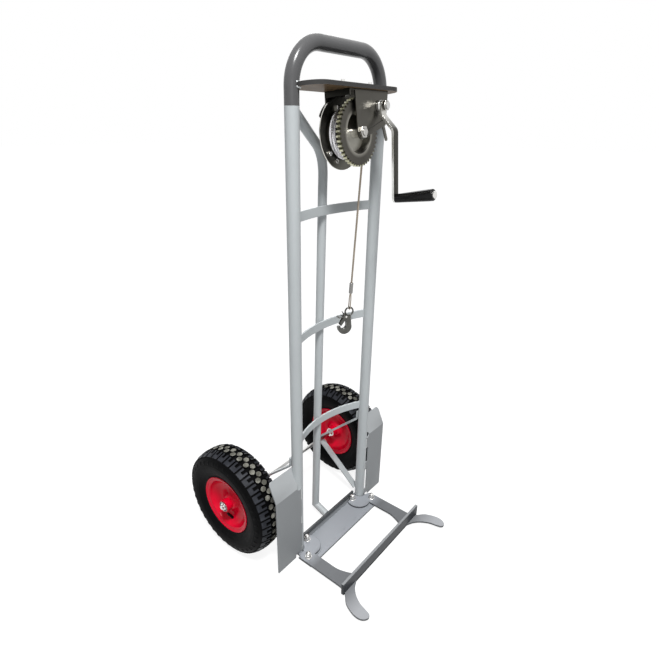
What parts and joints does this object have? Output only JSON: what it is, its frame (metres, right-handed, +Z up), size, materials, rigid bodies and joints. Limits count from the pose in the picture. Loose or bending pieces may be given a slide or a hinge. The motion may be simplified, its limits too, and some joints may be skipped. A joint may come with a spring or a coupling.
{
  "type": "carcass cart",
  "caption": "Upright two-wheeled carcass cart with a tubular frame, a geared hand winch and rope hook at the top, splayed toe forks and pneumatic wheels behind sheet guards.",
  "frame": {"origin": "on the floor under the middle of the cart's box", "axes": "+Z up, the toe forks point to -Y, +X is the crank's side of the winch"},
  "size_m": [0.573, 0.602, 1.283],
  "materials": {
    "frame_grey": "semi-gloss light grey powder coat",
    "dark_grey": "semi-gloss dark grey powder coat",
    "guard_grey": "satin grey sheet",
    "zinc": "bright zinc plate",
    "winch_steel": "dark brown painted steel",
    "gear_zinc": "yellow zinc plate",
    "steel": "plain steel",
    "rope_wire": "stranded wire",
    "tyre": "dusty black rubber",
    "rim_red": "gloss crimson paint",
    "valve_black": "black rubber",
    "grip_black": "gloss black"
  },
  "bodies": {
    "frame": {"left_side_tube": "frame_grey", "right_side_tube": "frame_grey", "handle_arch": "dark_grey", "handle_spigots": "steel", "winch_shelf": "dark_grey", "crossbar_upper": "frame_grey", "crossbar_middle": "frame_grey", "crossbar_lower": "frame_grey", "spine_tube": "frame_grey", "spine_foot": "frame_grey", "base_beam": "frame_grey", "left_fork": "frame_grey", "right_fork": "frame_grey", "fork_crossbar": "dark_grey", "fork_bolts": "zinc", "fork_nuts": "zinc", "axle": "steel", "axle_washers": "zinc", "axle_collars": "zinc", "split_pins": "zinc", "left_axle_bracket": "frame_grey", "right_axle_bracket": "frame_grey", "left_wheel_guard": "guard_grey", "right_wheel_guard": "guard_grey", "winch_frame": "winch_steel", "winch_bolts": "zinc", "winch_nuts": "zinc", "drum_shaft": "steel", "drum_shaft_nuts": "zinc", "drum_spacers": "steel", "pawl_pin": "zinc"},
    "left_wheel": {"left_tyre": "tyre", "left_rim": "rim_red", "left_hub": "steel", "left_bearings": "steel", "left_valve": "valve_black"},
    "right_wheel": {"right_tyre": "tyre", "right_rim": "rim_red", "right_hub": "steel", "right_bearings": "steel", "right_valve": "valve_black"},
    "drum": {"main_gear": "gear_zinc", "drum_core": "winch_steel", "drum_flange": "winch_steel", "rope_winding": "rope_wire", "rope_clamp": "zinc"},
    "crank": {"pinion_shaft": "gear_zinc", "crank_boss": "zinc", "ratchet_wheel": "gear_zinc", "crank_arm": "zinc", "crank_nut": "zinc", "grip_pin": "zinc"},
    "grip": {"crank_grip": "grip_black"},
    "pawl": {"pawl": "gear_zinc"},
    "rope_end": {"hoist_rope": "rope_wire", "rope_ferrule": "zinc", "rope_eye": "rope_wire"},
    "hook": {"hook": "zinc", "latch_pin": "zinc"},
    "latch": {"hook_latch": "zinc"}
  },
  "joints": [
    {"name": "left_wheel_spin", "type": "hinge", "parent": "frame", "child": "left_wheel", "pos_m": [-0.2355, 0.143, 0.158], "axis": [1, 0, 0], "continuous": true},
    {"name": "right_wheel_spin", "type": "hinge", "parent": "frame", "child": "right_wheel", "pos_m": [0.2355, 0.143, 0.158], "axis": [1, 0, 0], "continuous": true},
    {"name": "drum_spin", "type": "hinge", "parent": "frame", "child": "drum", "pos_m": [0.003, -0.04225, 1.1071], "axis": [0, -0.9962, 0.0872], "range_deg": [-590, 250]},
    {"name": "crank_spin", "type": "hinge", "parent": "frame", "child": "crank", "pos_m": [0.06639, -0.06177, 1.15942], "axis": [0, -0.9962, 0.0872], "range_deg": [-1101, 2597]},
    {"name": "grip_spin", "type": "hinge", "parent": "crank", "child": "grip", "pos_m": [0.06639, -0.12963, 0.97463], "axis": [0, -0.9863, 0.165], "continuous": true},
    {"name": "pawl_swing", "type": "hinge", "parent": "frame", "child": "pawl", "pos_m": [0.08499, -0.06886, 1.13575], "axis": [0, -0.9962, 0.0872], "range_deg": [0, 35]},
    {"name": "hook_lift", "type": "slide", "parent": "frame", "child": "rope_end", "axis": [0, 0, 1], "range_m": [-0.5159, 0.2192], "deforming": ["hoist_rope"]},
    {"name": "hook_swing", "type": "hinge", "parent": "rope_end", "child": "hook", "pos_m": [0.044, -0.029, 0.687], "axis": [-0.5, -0.866, 0], "range_deg": [-60, 60]},
    {"name": "latch_swing", "type": "hinge", "parent": "hook", "child": "latch", "pos_m": [0.03491, -0.02375, 0.6758], "axis": [-0.5, -0.866, 0], "range_deg": [0, 26], "stiffness_Nm_per_rad": 0.02, "springref_deg": -22.92}
  ],
  "couplings": [
    {"joint": "crank_spin", "follows": "drum_spin", "ratio": -4.4},
    {"joint": "hook_lift", "follows": "drum_spin", "m_per_rad": 0.05}
  ]
}
